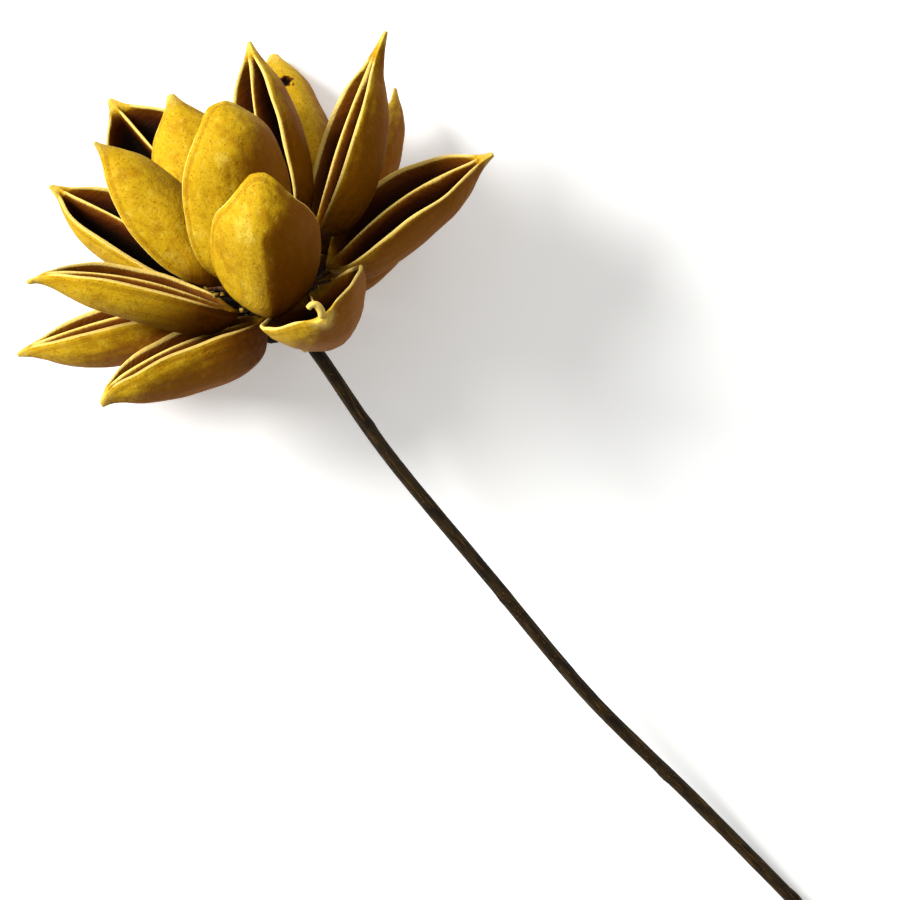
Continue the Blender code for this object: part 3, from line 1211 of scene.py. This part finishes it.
@dataclass
class Stem:
    """The slim dry stem, from the back of the head to its cut end on the surface."""

    node: str = "stem"
    diameter: float = 3.5 * MM
    ring_points: int = 28
    route: tuple[Point, ...] = (
        (9.5, -2.2, -1.8), (19.0, -2.8, -4.0), (49.0, -5.6, -11.0), (89.0, -6.0, -19.5),
        (129.0, -6.1, -27.0), (169.0, -2.4, -33.6), (207.0, 0.6, -37.6), (232.0, 2.0, -38.4),
    )
    step: float = 1.6 * MM
    scars: tuple[float, ...] = (31.0 * MM, 88.0 * MM, 151.0 * MM, 198.0 * MM)
    scar_height: float = 0.14
    # Uneven bark: how strong, how fine round the stem, how long along it, and its shift.
    bark: tuple[Zone, ...] = (
        (0.060, 2.6, 22.0 * MM, 0.0), (0.045, 6.0, 9.0 * MM, 7.0), (0.020, 3.0, 1.6 * MM, 3.0),
    )
    fullness: float = 0.98
    fullest: float = 1.12
    sharp_edge: float = 50.0
    cut_rings: tuple[tuple[float, float], ...] = (
        (0.93, 0.12 * MM), (0.80, 0.10 * MM), (0.46, -0.15 * MM), (0.20, -0.30 * MM),
    )

    def girth_at(self, travelled: float, angle: float) -> float:
        """The stem's radius with its bark ridges and leaf scars.

        Args:
            travelled: how far along the stem.
            angle: where round it.

        Returns:
            The radius in metres.
        """
        around = Vector((0.0, math.cos(angle), math.sin(angle)))
        size = self.fullness
        for strength, fineness, reach, shift in self.bark:
            place = around * fineness + Vector((travelled / reach, shift, 0.0))
            size += strength * noise.noise(place)
        for number, scar in enumerate(self.scars):
            near = math.exp(-((travelled - scar) / (1.4 * MM)) ** 2)
            size += self.scar_height * near * (0.5 + 0.5 * math.cos(angle - 1.9 * number))
        return self.diameter / 2.0 * min(size, self.fullest)

    def build(self) -> Vector:
        """Loft the stem along its line, with ridges and a cut end, and stand it on its node.

        Returns:
            The head's centre in the row frame.
        """
        line = smooth_line([Vector(point) * MM for point in self.route], self.step)
        last = len(line) - 1
        onwards = (line[-1] - line[-2]).normalized()
        rings = [(centre, 1.0) for centre in line]
        rings += [(line[-1] + onwards * height, shrink) for shrink, height in self.cut_rings]
        zones, fibres, places = [], [], []
        travelled = 0.0
        for index, (centre, shrink) in enumerate(rings):
            ahead = onwards
            if index <= last:
                ahead = (line[min(index + 1, last)] - line[max(index - 1, 0)]).normalized()
                travelled += (centre - line[max(index - 1, 0)]).length
            side = Vector((0.0, 0.0, 1.0)).cross(ahead).normalized()
            rise = ahead.cross(side)
            for number in range(self.ring_points):
                angle = 2.0 * math.pi * number / self.ring_points
                radius = self.girth_at(travelled, angle) * shrink
                places.append(centre + (side * math.cos(angle) + rise * math.sin(angle)) * radius)
                zones.append((float(index > last), float(shrink < 0.6), index / len(rings), 1.0))
                fibres.append((travelled, abs(angle - math.pi) * self.diameter / 2.0, radius))
        poles = (line[0], rings[-1][0])
        piece = skin("stem_bark", self.ring_points, places, poles, zones, fibres)
        origin = stand_on(piece, self.node)
        settle(piece, StemBark().build(), "stem_bark", self.node)
        bpy.ops.object.shade_smooth_by_angle(angle=math.radians(self.sharp_edge))
        return origin


# ---- studio
@dataclass(frozen=True)
class Lamp:
    """A soft round light: its direction in the view, as right, up and height, size and watts."""

    name: str
    come_from: Point
    size: float
    energy: float


@dataclass
class Studio:
    """A plain pale floor, soft light and a camera that looks straight down."""

    camera_height: float = 1.0
    frame_width: float = 0.225
    view_turn: float = 50.0
    aim_right: float = 42.5 * MM
    aim_up: float = -39.5 * MM
    lamps: tuple[Lamp, ...] = (
        Lamp("key", (-0.78, 0.34, 0.62), 0.50, 19.5),
        Lamp("fill", (0.10, 0.35, 1.0), 1.2, 3.8),
    )
    room_light: float = 0.10
    light_distance: float = 1.1
    floor_width: float = 6.0
    sensor: float = 36.0

    def axes(self) -> tuple[Vector, Vector]:
        """The view's right and up directions in the row frame."""
        turn = math.radians(self.view_turn)
        right = Vector((math.cos(turn), math.sin(turn), 0.0))
        return right, Vector((-math.sin(turn), math.cos(turn), 0.0))

    def hang(self, lamp: Lamp, origin: Vector) -> None:
        """Hang a light so that it faces the head.

        Args:
            lamp: the light.
            origin: the head's centre.
        """
        right, up = self.axes()
        data = bpy.data.lights.new(lamp.name, "AREA")
        data.shape = "DISK"
        data.size = lamp.size
        data.energy = lamp.energy
        light = bpy.data.objects.new(lamp.name, data)
        across, rise, height = lamp.come_from
        direction = (right * across + up * rise + Vector((0.0, 0.0, height))).normalized()
        light.location = origin + direction * self.light_distance
        light.rotation_euler = direction.to_track_quat("Z", "Y").to_euler()
        bpy.context.scene.collection.objects.link(light)

    def build(self, origin: Vector) -> None:
        """Set up the floor, the lights and the camera.

        Args:
            origin: the head's centre.
        """
        right, up = self.axes()
        aim = origin + right * self.aim_right + up * self.aim_up

        bpy.ops.mesh.primitive_plane_add(size=self.floor_width, location=(0.0, 0.0, 0.0))
        floor = bpy.context.object
        floor.name = "floor"
        floor.data.materials.append(PaperFloor().build())

        lens_data = bpy.data.cameras.new("camera")
        lens_data.sensor_width = self.sensor
        lens_data.lens = self.sensor * self.camera_height / self.frame_width
        lens_data.clip_start = 0.01
        camera = bpy.data.objects.new("camera", lens_data)
        camera.location = aim + Vector((0.0, 0.0, self.camera_height))
        camera.rotation_euler = (0.0, 0.0, math.radians(self.view_turn))
        bpy.context.scene.collection.objects.link(camera)
        bpy.context.scene.camera = camera

        for lamp in self.lamps:
            self.hang(lamp, origin)
        world = bpy.data.worlds.new("soft_room")
        world.use_nodes = True
        glow = world.node_tree.nodes["Background"].inputs
        glow["Color"].default_value = (1.0, 1.0, 1.0, 1.0)
        glow["Strength"].default_value = self.room_light
        bpy.context.scene.world = world
        bpy.context.scene.view_settings.view_transform = "Standard"


def main() -> None:
    """Build every piece in order and report it."""
    logging.basicConfig(level=logging.INFO, format="%(name)s %(message)s")
    origin = Stem().build()
    LOG.info("head centre %s", tuple(round(value, 4) for value in origin))
    for valve in VALVES:
        valve.build()
    Receptacle().build()
    BrokenStalks().build(origin)
    Studio().build(origin)


if __name__ == "__main__":
    main()
